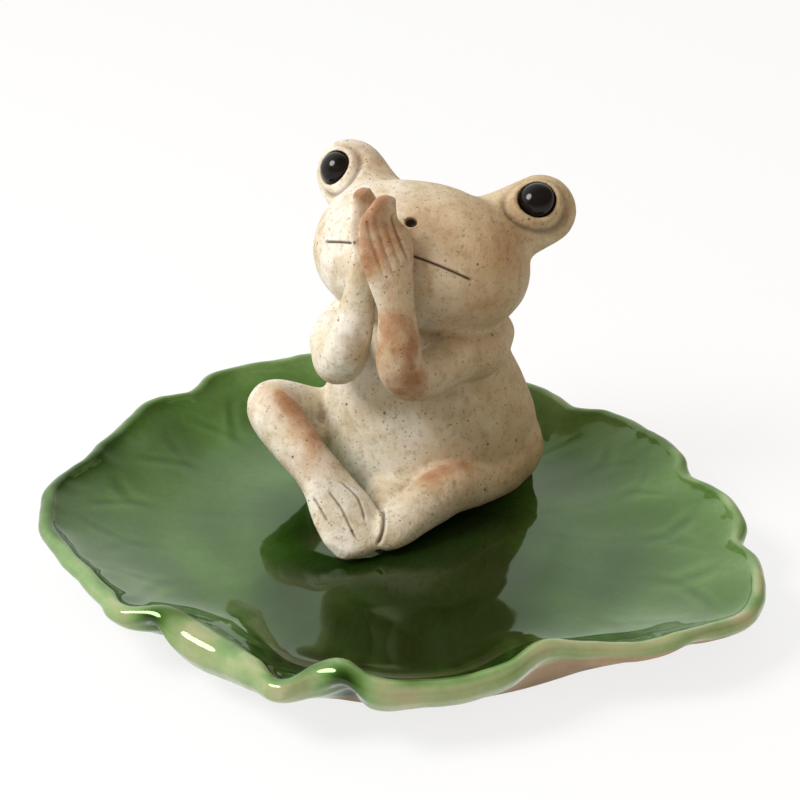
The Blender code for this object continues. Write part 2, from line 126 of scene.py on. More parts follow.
def ring_corners(rows, columns):
    """Quads between neighbouring rows of points whose columns close into rings."""
    row, column = np.meshgrid(np.arange(rows - 1), np.arange(columns), indexing="ij")
    after = (column + 1) % columns
    return np.stack([row * columns + column, row * columns + after,
                     (row + 1) * columns + after, (row + 1) * columns + column], -1).reshape(-1, 4)


def shell(name, rings, first, last):
    """A closed skin over rings of points, rows by columns by 3, with a pole before and one after them."""
    rows, columns = rings.shape[:2]
    points = np.concatenate([rings.reshape(-1, 3), [first, last]]) * MM
    side = np.arange(columns)
    after = (side + 1) % columns
    top = (rows - 1) * columns
    fans = np.concatenate([np.stack([np.full(columns, rows * columns), after, side], -1),
                           np.stack([np.full(columns, rows * columns + 1), top + side, top + after], -1)])
    mesh = bpy.data.meshes.new(name)
    mesh.from_pydata(points.tolist(), [], ring_corners(rows, columns).tolist() + fans.tolist())
    mesh.shade_smooth()
    obj = bpy.data.objects.new(name, mesh)
    bpy.context.scene.collection.objects.link(obj)
    return obj


def keep(mesh, name, values):
    """Store one number for each point of the mesh, for its material to read."""
    numbers = np.asarray(values, np.float32).ravel()
    mesh.attributes.new(name, "FLOAT", "POINT").data.foreach_set("value", numbers)


def rolling_mean(values, spread):
    """The mean of each value and its neighbours up to spread places away, round a closed ring."""
    width = 2 * spread + 1
    return np.convolve(np.tile(values, 3), np.ones(width) / width, "same")[len(values):-len(values)]


def leaf_rings(columns=720):
    """Section of the dish at every angle, from the foot up the outside, over the rim and down to the floor.

    Sixteen control rings per angle are joined by smooth_through. The place along the section is 0 to 2
    on the underside, 2 to 5 on the outer wall, 5 to 10 round the rolled edge with its crest at 8, 10 to
    14 down the inner wall and 14 to 16 on the floor.
    """
    angles = np.arange(columns) * 360 / columns
    closed = np.concatenate([RIM[-3:] - (360, 0, 0, 0), RIM, RIM[:3] + (360, 0, 0, 0)])
    radius, height, roll = smooth_through(closed[:, 1:], closed[:, 0], angles).T
    wide_spread, narrow_spread = columns // 12, columns // 60
    calm = rolling_mean(radius, wide_spread)
    around = np.stack([np.cos(np.radians(angles)), np.sin(np.radians(angles))], -1) * 50
    last_turn = ROLL_TURNS[-1]
    calm_edge = np.stack([rolling_mean(radius - roll + roll * math.cos(last_turn), narrow_spread),
                          rolling_mean(height - roll + roll * math.sin(last_turn), narrow_spread)])
    even = rolling_mean(np.minimum(radius, calm), narrow_spread)
    radius = radius + 0.18 * ripple(around, 9, 3) + 0.05 * ripple(around, 3.5, 4)
    height = height + 0.16 * ripple(around, 14, 5) + 0.03 * ripple(around, 4, 6)
    front, back, left, right = (by * bell(turn_between(angles, at), wide) for at, wide, by in
                                (FRONT_STEEPER, BACK_STEEPER, LEFT_GENTLER, RIGHT_GENTLER))
    foot = calm - OUTER_RISE + front
    run = INNER_RISE - front - back + left + right
    zero = np.zeros(columns)
    turned = [(radius - roll + roll * math.cos(a), height - roll + roll * math.sin(a)) for a in ROLL_TURNS]
    (under, under_z), (edge, edge_z) = turned[0], turned[-1]
    out, rise = FOOT_ROUNDING
    controls = [(foot * 0.62, zero), (foot, zero), (foot + out, zero + rise)]
    for share in (0.35, 0.7):
        up = rise + (under_z - rise) * share**OUTER_CURVE
        controls.append((foot + out + (under - foot - out) * share, up))
    controls += turned
    floor_edge = even - RIM_THICKNESS - run
    for share in (0.25, 0.5, 0.75, 1.0):
        start, start_z = calm_edge + (np.stack([edge, edge_z]) - calm_edge) * max(0.0, 0.5 - share)
        down = FLOOR + (start_z - FLOOR) * (1 - share) ** INNER_CURVE
        controls.append((start + (floor_edge - start) * share, down))
    controls.append((calm * 0.42, zero + FLOOR))
    controls = np.array([np.stack(c, -1) for c in controls])
    length = np.concatenate([[0], np.cumsum(np.linalg.norm(np.diff(controls, axis=0), axis=2).mean(1))])
    last = len(RINGS_BETWEEN_CONTROLS)
    places = [np.arange(n) / n + k for k, n in enumerate(RINGS_BETWEEN_CONTROLS)]
    places = np.concatenate([*places, [last]])
    rows = smooth_through(controls, length, np.interp(places, np.arange(len(length)), length))
    inner = np.linspace(1, 0.06, MIDDLE_RINGS + 1)[1:, None] * rows[-1][None, :, 0]
    rows = np.concatenate([rows, np.stack([inner, np.full_like(inner, FLOOR)], -1)])
    places = np.concatenate([places, last + np.arange(1, MIDDLE_RINGS + 1) / MIDDLE_RINGS])
    pinch = sum(deep * bell(turn_between(angles, at), wide) for at, wide, deep in PINCHES)
    outside = ease(places, 2.2, 4.2) * (1 - ease(places, 5.0, 6.8))
    rows[..., 0] -= outside[:, None] * pinch
    return angles, radius, rows[..., 0], np.maximum(rows[..., 1], 0), places


def vein_relief(r, angles, edge):
    """Depth of the pressed veins: a narrow hollow with soft lips on each vein, which forks near the edge.

    The distance to a vein is the radius times the sine of the turn between; past the fork the two arms
    spread apart in proportion to the way that is left to the edge.
    """
    hollow = np.zeros_like(r)
    lips = np.zeros_like(r)
    for k, (angle, fork) in enumerate(VEINS):
        turn = turn_between(angles, angle + 1.2 * np.sin(r / 8 + 2.1 * k))
        share = r / edge
        past = np.clip((share - fork) / (0.95 - fork), 0, 1)
        for side in (-1, 1):
            away = r * np.sin(np.radians(np.clip(turn - side * past * 6.5, -80, 80)))
            strength = (0.12 + 0.88 * ease(share, fork - 0.08, fork)) * ease(share, 0.3, 0.5)
            strength = strength * (1 - ease(share, 0.88, 0.955)) * (0.75 + 0.25 * math.sin(2.7 * k + side))
            hollow = np.maximum(hollow, strength * bell(away, 0.8 + 0.3 * past))
            lips = np.maximum(lips, strength * bell(np.abs(away) - 2.0, 1.0))
    return hollow, lips


# Directions on the dish: towards the low front edge, and square to it
FRONTWARD = (0.39, -0.92)
SIDEWAYS = (0.92, 0.39)
LIP_HEIGHT = 0.02
VEIN_DEPTH = 0.06
SWELL = 0.05
leaf_angles, leaf_radius, leaf_r, leaf_z, leaf_place = leaf_rings()
leaf_inside = ease(leaf_place, 8.8, 11.0)[:, None]
leaf_hollow, leaf_lips = vein_relief(leaf_r, leaf_angles[None, :], leaf_radius[None, :] - RIM_THICKNESS)
turned = np.radians(leaf_angles)[None, :]
leaf_flat = np.stack([leaf_r * np.cos(turned), leaf_r * np.sin(turned)], -1)
frontward = leaf_flat @ FRONTWARD
veined = 1 - 0.85 * ease(frontward, 0, 22)
leaf_relief = SWELL * ripple(leaf_flat, 34, 8) + veined * (LIP_HEIGHT * leaf_lips - VEIN_DEPTH * leaf_hollow)
leaf_z = leaf_z + leaf_inside * leaf_relief
leaf_points = np.stack([leaf_flat[..., 0] + HEART[0], leaf_flat[..., 1] + HEART[1], leaf_z], -1)
low, high = (np.array(corner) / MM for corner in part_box("leaf_dish"))
leaf_points = np.clip(leaf_points, low, high)
leaf = shell("leaf_dish_glazed", leaf_points, (*HEART, 0), leaf_points[-1].mean(axis=0))

# How dark the glaze is, from 0 where it breaks thin over an edge to 1 where it pools thick, with painted
# shade and painted reflection mixed in; and where the clay is left bare
EVEN_GLAZE = 0.67
wall = (ease(leaf_place, 2.0, 2.8) * (1 - ease(leaf_place, 7.0, 8.6)))[:, None]
pocket = sum(bell(turn_between(leaf_angles, at), wide) * deep / 2.6 for at, wide, deep in PINCHES[:2])
left_side, right_side = (bell(turn_between(leaf_angles, at), 45)[None] for at in (200, 6))
back_side = bell(turn_between(leaf_angles, 97), 52)[None]
# The crest of the rim breaks pale, most at the front and least on the left, where it is painted darker as
# shade although the lamp lights it.
crest = 0.25 + 0.5 * ripple(leaf_flat, 9, 11) + 0.6 * ease(frontward, 0, 30) - 0.25 * left_side
crest = crest * bell(leaf_place - 8.2, 1.0)[:, None]
# Painted shadow and reflection of the frog: the glaze is much darker in a band in front of the frog, where
# its shadow and mirror image fall.
frog_shadow_and_reflection = ease(frontward, -16, 4) * (1 - ease(np.abs(leaf_flat @ SIDEWAYS + 1), 13, 27))
# Lighter towards the back of the floor, and darker near the frog towards +X: a painted shadow of the frog
# there.
glaze_depth_and_shade = EVEN_GLAZE + 0.32 * frog_shadow_and_reflection - 0.11 * ease(leaf_r, 12, 34) * back_side
glaze_depth_and_shade = glaze_depth_and_shade + 0.13 * right_side * (1 - ease(leaf_r, 30, 50)) + 0.06 * ripple(leaf_flat, 16, 12)
glaze_depth_and_shade = glaze_depth_and_shade + leaf_inside * 0.09 * (leaf_hollow - leaf_lips)
# The glaze breaks paler towards the edge, less so at the front; on the left the edge is painted darker
# instead, as shade.
breaking = 0.20 * ease(leaf_r / leaf_radius, 0.74, 0.98) * (1 - 0.6 * ease(frontward, 20, 40))
glaze_depth_and_shade = glaze_depth_and_shade - breaking * (1 - 1.6 * left_side)
# The outer wall's glaze is thinner towards the front; on the left it is painted darker, as shade.
thin = 0.46 - 0.27 * ease(frontward, 0, 35) + 0.10 * left_side + 0.08 * ripple(leaf_flat, 11, 14)
glaze_depth_and_shade = glaze_depth_and_shade * (1 - wall) + wall * (thin + 0.85 * pocket)
glaze_depth_and_shade = glaze_depth_and_shade * (1 - 0.7 * np.clip(crest, 0, 1))
bare_up_to = 2.9 + 0.4 * ripple(leaf_flat[0], 14, 13)
for at, wide, more in ((332, 22, 2.5), (2, 18, 1.0)):
    bare_up_to = bare_up_to + more * bell(turn_between(leaf_angles, at), wide)
bare = 1 - ease(leaf_place[:, None] - bare_up_to, -0.9, 1.6)
keep(leaf.data, "glaze_depth_and_shade", np.append(np.clip(glaze_depth_and_shade, 0, 1), [0.2, 0.7]))
keep(leaf.data, "bare", np.append(np.clip(bare, 0, 1), [1, 0]))


def add(tree, kind, sockets=None, **settings):
    """A new node with its settings; sockets gives an input a value, or the output that feeds it."""
    made = tree.nodes.new(kind)
    for name, value in settings.items():
        setattr(made, name, value)
    for name, value in (sockets or {}).items():
        if isinstance(value, bpy.types.NodeSocket):
            tree.links.new(value, made.inputs[name])
        else:
            made.inputs[name].default_value = value
    return made


def calc(tree, operation, *terms):
    """A Math node on the terms, which are numbers or outputs."""
    return add(tree, "ShaderNodeMath", dict(enumerate(terms)), operation=operation).outputs[0]


def blend(tree, share, first, second, way="MIX"):
    """Two colours mixed by a share, which is a number or an output."""
    made = add(tree, "ShaderNodeMix", {0: share, 6: first, 7: second}, data_type="RGBA", blend_type=way)
    return made.outputs[2]


def ramp(tree, value, stops, interpolation="EASE"):
    """A Color Ramp through (place, colour) stops."""
    made = add(tree, "ShaderNodeValToRGB", {0: value})
    made.color_ramp.interpolation = interpolation
    while len(made.color_ramp.elements) < len(stops):
        made.color_ramp.elements.new(1)
    for element, (place, colour) in zip(made.color_ramp.elements, stops):
        element.position = place
        element.color = (*colour, 1)
    return made.outputs[0]


def stretch(tree, value, low, high, to_low=0.0, to_high=1.0):
    """A Map Range node with clamped ends."""
    return add(tree, "ShaderNodeMapRange", {0: value, 1: low, 2: high, 3: to_low, 4: to_high}).outputs[0]


def new_material(name):
    """A material, its node tree, its shader, and the object coordinates that its patterns read."""
    made = bpy.data.materials.new(name)
    made.use_nodes = True
    tree = made.node_tree
    place = add(tree, "ShaderNodeTexCoord").outputs["Object"]
    return made, tree, tree.nodes["Principled BSDF"], place


def grain_group():
    """Fired clay: dark iron specks of two sizes, red specks, a slow cloud of shade, and a sandy height.

    A speck is a round spot in a cell of a Voronoi texture, in the share of the cells that a random
    value picks, and a noise bends its outline.
    """
    tree = bpy.data.node_groups.new("fired clay grain", "ShaderNodeTree")
    tree.interface.new_socket("Place", in_out="INPUT", socket_type="NodeSocketVector")
    tree.interface.new_socket("Amount", in_out="INPUT", socket_type="NodeSocketFloat").default_value = 1.0
    for name in ("Specks", "Red specks", "Cloud", "Height"):
        tree.interface.new_socket(name, in_out="OUTPUT", socket_type="NodeSocketFloat")
    inside, outside = tree.nodes.new("NodeGroupInput"), tree.nodes.new("NodeGroupOutput")
    place, amount = inside.outputs["Place"], inside.outputs["Amount"]
    warp = add(tree, "ShaderNodeTexNoise", {"Vector": place, "Scale": 1800.0, "Detail": 2.0}).outputs["Color"]
    bent = add(tree, "ShaderNodeVectorMath", {0: warp, 1: (0.00022, 0.00022, 0.00022)}, operation="MULTIPLY")
    moved = add(tree, "ShaderNodeVectorMath", {0: place, 1: bent.outputs[0]}, operation="ADD").outputs[0]
    masks = []
    for scale, size, share in ((1500.0, 0.15, 0.22), (640.0, 0.115, 0.22), (1150.0, 0.19, 0.34)):
        cell = add(tree, "ShaderNodeTexVoronoi", {"Vector": moved, "Scale": scale, "Randomness": 1.0})
        pick = add(tree, "ShaderNodeSeparateColor", {0: cell.outputs["Color"]})
        chosen = calc(tree, "LESS_THAN", pick.outputs[0], calc(tree, "MULTIPLY", amount, share))
        limit = calc(tree, "MULTIPLY", size, calc(tree, "MULTIPLY_ADD", pick.outputs[1], 1.0, 0.5))
        dot = stretch(tree, calc(tree, "DIVIDE", cell.outputs["Distance"], limit), 0.75, 1.3, 1.0, 0.0)
        masks.append(calc(tree, "MULTIPLY", dot, chosen))
    tree.links.new(calc(tree, "MAXIMUM", masks[0], masks[1]), outside.inputs["Specks"])
    tree.links.new(masks[2], outside.inputs["Red specks"])
    cloud = add(tree, "ShaderNodeTexNoise", {"Vector": place, "Scale": 110.0, "Detail": 5.0})
    cloud.inputs["Roughness"].default_value = 0.6
    tree.links.new(cloud.outputs[0], outside.inputs["Cloud"])
    sand = add(tree, "ShaderNodeTexNoise", {"Vector": place, "Scale": 2600.0, "Detail": 3.0}).outputs[0]
    slow = add(tree, "ShaderNodeTexNoise", {"Vector": place, "Scale": 420.0, "Detail": 2.0}).outputs[0]
    tree.links.new(calc(tree, "MULTIPLY_ADD", slow, 1.6, sand), outside.inputs["Height"])
    return tree


FIRED_CLAY = grain_group()


def glaze_material():
    """Clear green glaze whose colour follows its thickness and the painted shade and reflection in it, over
    clay that shows where it is bare.
    """
    made, tree, shader, place = new_material("green_glaze")
    glaze_depth_and_shade = add(tree, "ShaderNodeAttribute", attribute_name="glaze_depth_and_shade").outputs["Fac"]
    bare = add(tree, "ShaderNodeAttribute", attribute_name="bare").outputs["Fac"]
    cloud = add(tree, "ShaderNodeTexNoise", {"Vector": place, "Scale": 95.0, "Detail": 4.0}).outputs[0]
    fleck = add(tree, "ShaderNodeTexNoise", {"Vector": place, "Scale": 900.0, "Detail": 3.0}).outputs[0]
    # The glaze's darkness, with its painted shade and reflection, varied by two noises
    depth = calc(tree, "ADD", glaze_depth_and_shade, calc(tree, "MULTIPLY_ADD", cloud, 0.22, -0.11))
    depth = calc(tree, "ADD", depth, calc(tree, "MULTIPLY_ADD", fleck, 0.10, -0.05))
    green = ramp(tree, depth, [(0.0, (0.49, 0.37, 0.24)), (0.12, (0.36, 0.38, 0.21)),
                               (0.28, (0.18, 0.29, 0.11)), (0.48, (0.085, 0.165, 0.04)),
                               (0.66, (0.040, 0.095, 0.014)), (0.84, (0.014, 0.042, 0.003)),
                               (1.0, (0.005, 0.016, 0.001))], "LINEAR")
    grain = add(tree, "ShaderNodeGroup", {}, node_tree=FIRED_CLAY)
    tree.links.new(place, grain.inputs["Place"])
    clay = ramp(tree, grain.outputs["Cloud"], [(0.3, (0.30, 0.19, 0.115)), (0.55, (0.42, 0.28, 0.18)),
                                               (0.8, (0.50, 0.37, 0.26))])
    clay = blend(tree, calc(tree, "MULTIPLY", grain.outputs["Specks"], 0.7), clay, (0.10, 0.055, 0.03, 1))
    ragged = calc(tree, "ADD", bare, calc(tree, "MULTIPLY_ADD", cloud, 0.7, -0.35))
    open_clay = stretch(tree, ragged, 0.4, 0.75)
    tree.links.new(blend(tree, open_clay, green, clay), shader.inputs["Base Color"])
    tree.links.new(stretch(tree, open_clay, 0.0, 1.0, 0.055, 0.6), shader.inputs["Roughness"])
    shader.inputs["IOR"].default_value = 1.64
    shader.inputs["Specular Tint"].default_value = (0.70, 1.0, 0.52, 1)
    wave = add(tree, "ShaderNodeTexNoise", {"Vector": place, "Scale": 160.0, "Detail": 1.0}).outputs[0]
    sandy = calc(tree, "MULTIPLY", grain.outputs["Height"], open_clay)
    skin = calc(tree, "MULTIPLY_ADD", sandy, 0.35, wave)
    bump = add(tree, "ShaderNodeBump", {"Height": skin, "Strength": 0.2, "Distance": 0.0002})
    tree.links.new(bump.outputs[0], shader.inputs["Normal"])
    return made


leaf.data.materials.append(glaze_material())
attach(leaf, "root")
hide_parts("leaf_dish")

# The frog. Body, head, limbs and eyes rolled from speckled stoneware and pressed together wet, the joins
# smoothed with a finger, the mouth, lids, fingers and toes scored with a needle, then fired unglazed.
SEAT = np.array([-8.335, 26.047, 4.8])
HEAD_CENTRE = np.array([-0.3, -2.4, 39.0])
HEAD_HALVES = (18.0, 14.0, 12.2)
HEAD_POWER = 2.2
HEAD_AXES = np.array(Matrix.Rotation(math.radians(6), 3, "Z") @ Matrix.Rotation(math.radians(-36), 3, "X")
                     @ Matrix.Rotation(math.radians(4), 3, "Y")).T
PALM_NORMAL = np.array([0.766, -0.643, 0.0])
SOLE_NORMAL = np.array([0.39, -0.39, 0.83])
# Stations from the root of a limb to its tip: x, y, z, half thickness and half width
TORSO = [(0.2, -0.1, -2, 15.0, 14.5), (0.2, -0.1, 1, 17.7, 17.0), (0.2, -0.15, 4, 18.5, 17.8),
         (0, -0.2, 8, 18.5, 17.6), (-0.4, -0.3, 12.5, 17.6, 16.6), (-0.8, -0.3, 18, 15.9, 14.8),
         (-0.9, -0.2, 23, 14.2, 13.0), (-0.6, 0, 28.5, 12.0, 11.2), (-0.3, 0.5, 33.5, 9.0, 9.0)]
LAP = [(0.5, -14, 2.6, 5.2, 5.2), (1.8, -19.5, 1.4, 4.4, 4.4), (2.6, -23.0, 1.0, 3.4, 3.4)]
WEB = [(-11, -4, 4.5, 5.0, 5.0), (-15.4, -9, 6.2, 3.0, 3.0), (-14.6, -13.5, 8.4, 2.0, 2.0)]
LEFT_ARM = [(9, 4, 24.2, 4.5, 4.5), (10.8, -4, 25.1, 4.3, 4.3), (8.9, -11.5, 26.5, 4.1, 4.1),
            (5.8, -17.4, 25.5, 3.8, 3.8), (4.2, -20.4, 28.2, 3.8, 3.8), (3.7, -20.8, 32.7, 3.4, 3.6),
            (3.2, -20.4, 38.6, 2.6, 3.1), (2.1, -19.9, 43.4, 1.9, 3.9), (0.8, -19.0, 48.2, 1.5, 4.7),
            (-0.4, -18.5, 52.0, 1.3, 3.5), (0.4, -18.0, 55.8, 1.0, 2.0)]
RIGHT_ARM = [(-9, 2, 25.2, 4.6, 4.6), (-11.4, -6, 26.9, 4.4, 4.4), (-10.8, -13, 27.2, 4.1, 4.1),
             (-8.2, -18.4, 26.4, 4.0, 4.0), (-5.8, -20.9, 29.3, 3.8, 3.8), (-4.4, -20.8, 33.7, 3.3, 3.5),
             (-3.6, -20.0, 38.0, 2.6, 2.8), (-2.8, -19.3, 42.5, 1.8, 2.9), (-2.5, -17.8, 47.0, 1.4, 3.2),
             (-3.2, -17.2, 51.7, 1.2, 3.1), (-3.8, -17.5, 56.0, 1.0, 1.7)]
RIGHT_LEG = [(-10, 0, 6, 5.0, 5.0), (-16.8, -8, 10.5, 3.3, 3.3), (-20.4, -16.2, 14.7, 4.0, 4.0),
             (-18.9, -20, 14.6, 4.3, 4.3), (-14.2, -22.8, 12.2, 4.1, 4.1), (-9.7, -25.3, 10.1, 3.5, 3.8),
             (-6.3, -27.1, 8.2, 2.7, 4.2), (-2.6, -29.4, 5.6, 1.9, 5.3), (0.7, -31.6, 3.0, 1.5, 5.4),
             (2.3, -32.9, 1.5, 1.35, 4.4)]
LEFT_LEG = [(10.5, 5, 7.6, 6.2, 6.2), (15.0, 1.2, 5.6, 5.2, 5.2), (15.2, -4.6, 4.4, 4.4, 4.4),
            (13.0, -10.3, 4.5, 4.2, 4.2), (10.4, -15.4, 5.2, 4.5, 4.5), (8.6, -20, 4.4, 4.1, 4.1),
            (6.9, -24.6, 3.5, 3.0, 3.7), (5.4, -27.9, 2.8, 2.0, 3.4), (4.4, -29.6, 2.4, 1.6, 2.9)]
EYE_PLACE = {1: np.array([16.2, 4.9, 12.6]), -1: np.array([-16.9, 4.9, 12.3])}
EYE_RADIUS = 5.9
# Where each eye looks, as a turn from the front towards the frog's left and a rise, in degrees
EYE_LOOK = {1: (11, 42), -1: (-11, 30)}


def on_head(place):
    """Frog coordinates of places in the head's own directions."""
    return HEAD_CENTRE + np.asarray(place) @ HEAD_AXES


def limb(name, stations, across, rings, sides):
    """A tube along a smooth path through the stations, an ellipse at each place, closed by half domes.

    The half thickness of each ellipse lies along the direction in across, straightened so that it is
    square to the path; the half width lies along the path's direction crossed with it.
    """
    table = np.hstack([np.asarray(stations, float), np.broadcast_to(across, (len(stations), 3))])
    places = np.linspace(0, len(stations) - 1, rings)
    table = smooth_through(table, np.arange(len(stations), dtype=float), places)
    centre, thick, wide, side = table[:, :3], table[:, 3], table[:, 4], table[:, 5:]
    along = np.gradient(centre, axis=0)
    along /= np.linalg.norm(along, axis=1, keepdims=True)
    side = side - along * np.sum(side * along, axis=1, keepdims=True)
    side /= np.linalg.norm(side, axis=1, keepdims=True)
    other = np.cross(along, side)
    small = np.minimum(thick, wide)
    dome_rings = 8
    dome = np.sin(np.linspace(0.12, 0.94, dome_rings) * math.pi / 2)
    back = np.sqrt(1 - dome**2)
    first = centre[0] - along[0] * small[0] * back[:, None]
    last = centre[-1] + along[-1] * small[-1] * back[::-1, None]
    pick = np.concatenate([np.zeros(dome_rings, int), np.arange(rings), np.full(dome_rings, rings - 1)])
    size = np.concatenate([dome, np.ones(rings), dome[::-1]])[:, None, None]
    middle = np.concatenate([first, centre, last])[:, None]
    turn = np.arange(sides) * 2 * math.pi / sides
    ring = (thick[pick, None, None] * np.cos(turn)[:, None] * side[pick, None]
            + wide[pick, None, None] * np.sin(turn)[:, None] * other[pick, None])
    ends = centre[0] - along[0] * small[0], centre[-1] + along[-1] * small[-1]
    return shell(name, middle + size * ring, *ends)


def pebble(rows=60, columns=90):
    """The head: sines and cosines of a ball's two angles raised to a power just below one."""
    def soft(value):
        return np.sign(value) * np.abs(value) ** (2 / HEAD_POWER)
    down = np.linspace(math.pi, 0, rows + 2)[1:-1, None]
    round_ = (np.arange(columns) * 2 * math.pi / columns)[None]
    places = np.stack([soft(np.sin(down)) * soft(np.cos(round_)), soft(np.sin(down)) * soft(np.sin(round_)),
                       soft(np.cos(down)) * np.ones_like(round_)], -1) * HEAD_HALVES
    return shell("head", on_head(places), on_head((0, 0, -HEAD_HALVES[2])), on_head((0, 0, HEAD_HALVES[2])))


def eye_bulb(side):
    """A ball on a short stalk, swept from inside the head to the eye's place."""
    stations = [(*on_head(EYE_PLACE[side] * (out, up, up)), EYE_RADIUS + more, EYE_RADIUS + more)
                for out, up, more in ((0.55, 0.4, 1.6), (0.78, 0.72, 0.3), (1, 1, 0))]
    return limb("bulb", stations, (0, 1, 0), rings=16, sides=48)


def press_together(pieces, name, grid, rounds):
    """One skin over all the pieces on a fine grid, with its seams rubbed soft."""
    whole = bmesh.new()
    for piece in pieces:
        whole.from_mesh(piece.data)
        bpy.data.objects.remove(piece)
    mesh = bpy.data.meshes.new(name)
    whole.to_mesh(mesh)
    whole.free()
    obj = bpy.data.objects.new(name, mesh)
    bpy.context.scene.collection.objects.link(obj)
    skin = obj.modifiers.new("skin", "REMESH")
    skin.mode = "VOXEL"
    skin.voxel_size = grid * MM
    soft = obj.modifiers.new("soft", "SMOOTH")
    soft.factor = 0.5
    soft.iterations = rounds
    graph = bpy.context.evaluated_depsgraph_get()
    obj.data = bpy.data.meshes.new_from_object(obj.evaluated_get(graph))
    obj.modifiers.clear()
    return obj


def points_of(mesh):
    """Points of a mesh in millimetres, as an array."""
    flat = np.empty(len(mesh.vertices) * 3, np.float32)
    mesh.vertices.foreach_get("co", flat)
    return flat.reshape(-1, 3).astype(float) / MM


def normals_of(mesh):
    """Outward directions at the points of a mesh, as an array."""
    flat = np.empty(len(mesh.vertices) * 3, np.float32)
    mesh.vertex_normals.foreach_get("vector", flat)
    return flat.reshape(-1, 3).astype(float)


def away_from(line, flat):
    """Distance of flat points to a smooth curve through the line's points, and the place along it."""
    line = np.asarray(line, float)
    line = smooth_through(line, np.arange(len(line), dtype=float), np.linspace(0, len(line) - 1, 25))
    start, run = line[:-1], np.diff(line, axis=0)
    share = np.einsum("psk,sk->ps", flat[:, None] - start, run) / np.sum(run * run, axis=1)
    share = np.clip(share, 0, 1)
    gap = np.linalg.norm(flat[:, None] - start - share[..., None] * run, axis=2)
    nearest = gap.argmin(axis=1)
    rows = np.arange(len(flat))
    return gap[rows, nearest], (nearest + share[rows, nearest]) / len(run)


def view_on(origin, right, normal):
    """A drawing plane: its origin, and its right, up and outward directions as rows."""
    normal = np.asarray(normal, float) / np.linalg.norm(normal)
    right = np.asarray(right, float) - normal * np.dot(right, normal)
    right /= np.linalg.norm(right)
    return np.asarray(origin, float), np.stack([right, np.cross(normal, right), normal])


def look_axis(side):
    """The direction in which an eye looks."""
    turn, rise = np.radians(EYE_LOOK[side])
    return np.array([math.sin(turn) * math.cos(rise), -math.cos(turn) * math.cos(rise), math.sin(rise)])


def eye_plane(side):
    """The drawing plane through the middle of an eye, square to the way it looks."""
    return view_on(on_head(EYE_PLACE[side]), (1, 0.2 * side, 0), look_axis(side))


# Needle lines: the plane they are scored on, the points that they pass, how near the plane a point of
# the skin must be, the half width, the depth, the darkness of brown wash and painted shade, and the share
# that fades out at each end
FACE = (HEAD_CENTRE, HEAD_AXES[[0, 2, 1]] * [[1], [1], [-1]])
LEFT_PALM = view_on(np.array([0.8, -19.0, 48.2]) + PALM_NORMAL * 1.4, (0.643, 0.766, 0), PALM_NORMAL)
RIGHT_PALM = view_on(np.array([-2.6, -17.8, 47.2]) - PALM_NORMAL * 1.4, (-0.643, -0.766, 0), -PALM_NORMAL)
RIGHT_SOLE = view_on(np.array([-2.6, -29.4, 5.6]) + SOLE_NORMAL / 0.997 * 1.8, (0.7, 0.7, 0), SOLE_NORMAL)
FINGER_FOLD = ((-2, 3), 0.30, 0.14, 0.12, 0.2)
PLANE_HALVES = (20, 12)
LINES = [
    (FACE, [(-13.9, -2.1), (-8.2, -1.8), (-3.0, -1.7), (2.6, -2.0), (7.2, -2.6), (12.2, -3.4)], (4, 20),
     0.19, 0.45, 0.95, 0.03),
    (LEFT_PALM, [(-3.0, 6.0), (-2.6, 2.2), (-1.6, -4.0)], *FINGER_FOLD),
    (LEFT_PALM, [(-1.7, 6.6), (-1.1, 2.0), (0.1, -4.6)], *FINGER_FOLD),
    (LEFT_PALM, [(-0.2, 5.4), (0.5, 1.6), (1.5, -3.6)], *FINGER_FOLD),
    (LEFT_PALM, [(1.1, 5.6), (1.8, 1.9), (2.9, -2.2)], (-2, 3), 0.26, 0.28, 0.45, 0.12),
    (RIGHT_PALM, [(-1.6, 6.6), (-1.4, 2.2), (-0.8, -3.4)], *FINGER_FOLD),
    (RIGHT_PALM, [(0.0, 7.2), (0.2, 2.5), (0.6, -3.4)], *FINGER_FOLD),
    (RIGHT_PALM, [(1.6, 6.2), (1.8, 2.0), (1.8, -2.4)], *FINGER_FOLD),
    (RIGHT_SOLE, [(-4.3, 2.8), (-3.7, 0.1), (-3.1, -2.4)], (-1.6, 1.4), 0.20, 0.16, 0.60, 0.14),
    (RIGHT_SOLE, [(-1.9, 3.2), (-0.5, -0.5), (0.0, -3.5), (0.5, -6.7)], (-1.6, 1.4), 0.21, 0.20, 0.65, 0.14),
    (RIGHT_SOLE, [(0.4, 4.3), (2.5, 1.2), (2.9, -1.2), (2.7, -3.8)], (-1.6, 1.4), 0.21, 0.18, 0.60, 0.14),
    (RIGHT_SOLE, [(6.2, 0.6), (6.2, -1.8), (5.7, -3.9), (4.9, -6.0), (3.5, -8.0)], (-1.5, 0.7),
     0.27, 0.5, 0.75, 0.1),
]
NOSTRILS = [(-3.4, 3.4), (0.8, 3.3)]
NOSTRIL_HALVES = (1.05, 0.85)
NOSTRIL_DEPTH = 1.5
SOCKET = {1: 2.95, -1: 2.8}
SOCKET_FLOOR = 3.3
COLLAR_RISE = 0.34
# Ring scored round each bead on the eye's plane: middle, half width and half height, and where it is deepest
LID = {1: ((-0.2, -0.7), (4.85, 4.45), (0.1, -1.0)), -1: ((0.5, -0.25), (4.3, 4.3), (0.8, -0.6))}
LID_SIZE = 4.4
LID_DEPTH = 0.42
LID_LIP = 0.14


def on_the_face(points):
    """Points on the pebble's own surface, which leaves out the hands in front of it."""
    local = (points - HEAD_CENTRE) @ HEAD_AXES.T / HEAD_HALVES
    return np.abs((np.abs(local) ** HEAD_POWER).sum(axis=1) - 1) < 0.16


